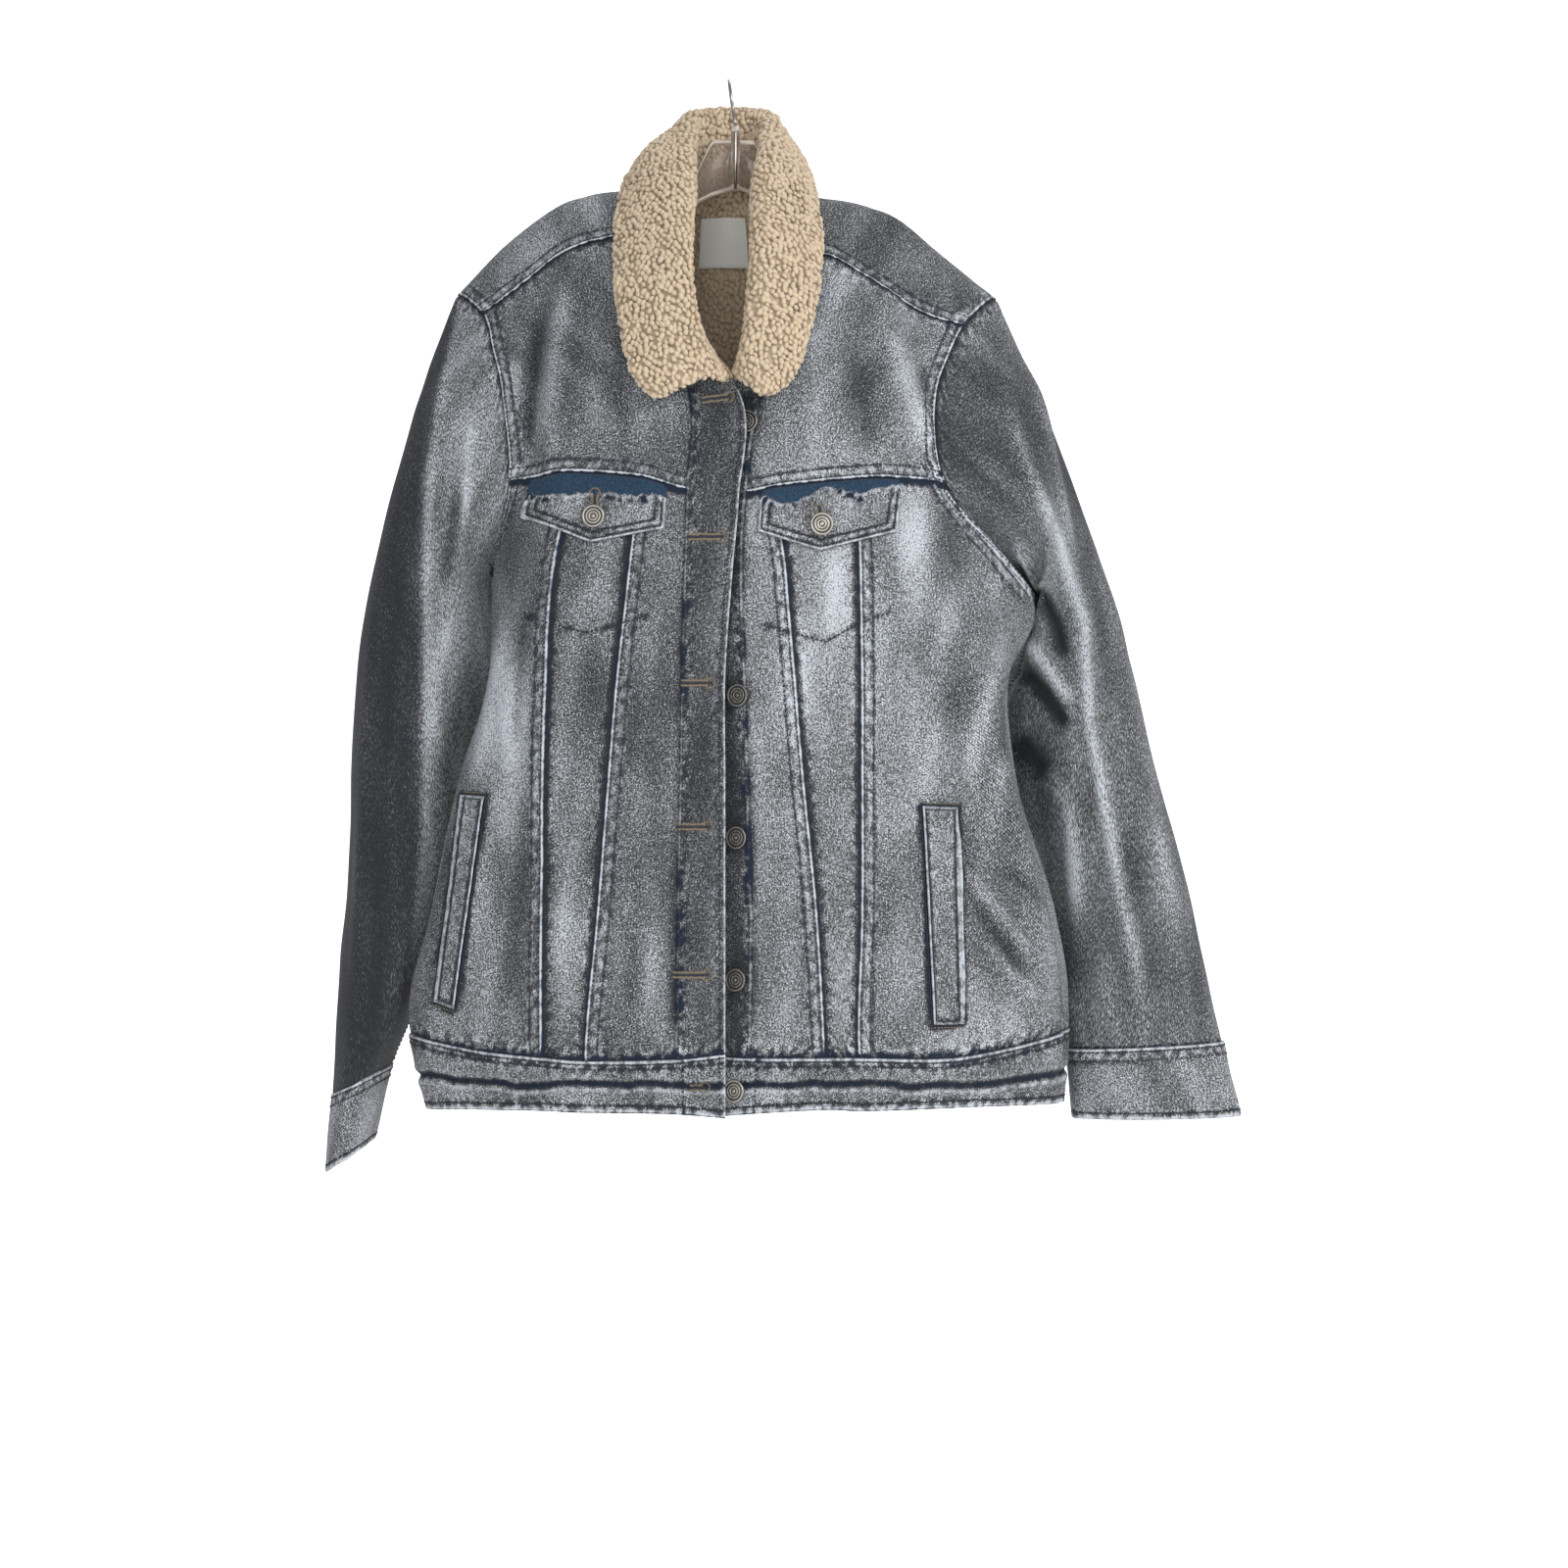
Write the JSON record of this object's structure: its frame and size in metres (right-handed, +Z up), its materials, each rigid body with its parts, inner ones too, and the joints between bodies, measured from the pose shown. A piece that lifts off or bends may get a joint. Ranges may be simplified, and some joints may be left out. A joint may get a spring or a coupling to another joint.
{
  "type": "sherpa lined denim jacket on a hanger",
  "caption": "Washed denim trucker jacket with a sherpa collar and lining, hanging unbuttoned on a clear plastic hanger.",
  "frame": {"origin": "inside of the hook's crook at its top, where a rail carries the hanger", "axes": "+Z up, the fronts face -Y, +X is the wearer's left (the viewer's right)"},
  "size_m": [0.6915, 0.1935, 0.826],
  "materials": {
    "denim": "washed grey-blue denim with flattened sherpa behind it",
    "denim_dark": "washed denim, double layer",
    "sherpa": "cream sherpa pile",
    "label": "blank woven label",
    "button": "antique silver, concentric rings",
    "clear_plastic": "clear plastic hanger",
    "steel": "bright wire"
  },
  "bodies": {
    "root": {"yoke": "denim", "front_upper_right": "denim", "front_upper_left": "denim", "front_center_right": "denim", "front_center_left": "denim", "front_middle_right": "denim", "front_middle_left": "denim", "front_side_right": "denim", "front_side_left": "denim", "placket_right": "denim", "button_stand_left": "denim", "back_center": "denim", "back_side_right": "denim", "back_side_left": "denim", "sleeve_top_right": "denim", "sleeve_top_left": "denim", "sleeve_under_right": "denim", "sleeve_under_left": "denim", "cuff_front_right": "denim", "cuff_front_left": "denim", "cuff_back_right": "denim", "cuff_back_left": "denim", "flap_right": "denim", "flap_left": "denim", "welt_right": "denim", "welt_left": "denim", "waistband_right": "denim_dark", "waistband_left": "denim_dark", "waistband_back": "denim_dark", "undercollar_denim": "denim_dark", "lining_back": "sherpa", "collar_sherpa": "sherpa", "neck_label": "label", "button_flap_right": "button", "button_flap_left": "button", "button_front_1": "button", "button_front_2": "button", "button_front_3": "button", "button_front_4": "button", "button_front_5": "button", "button_front_6": "button", "hanger_body": "clear_plastic", "hook": "steel"}
  },
  "joints": []
}
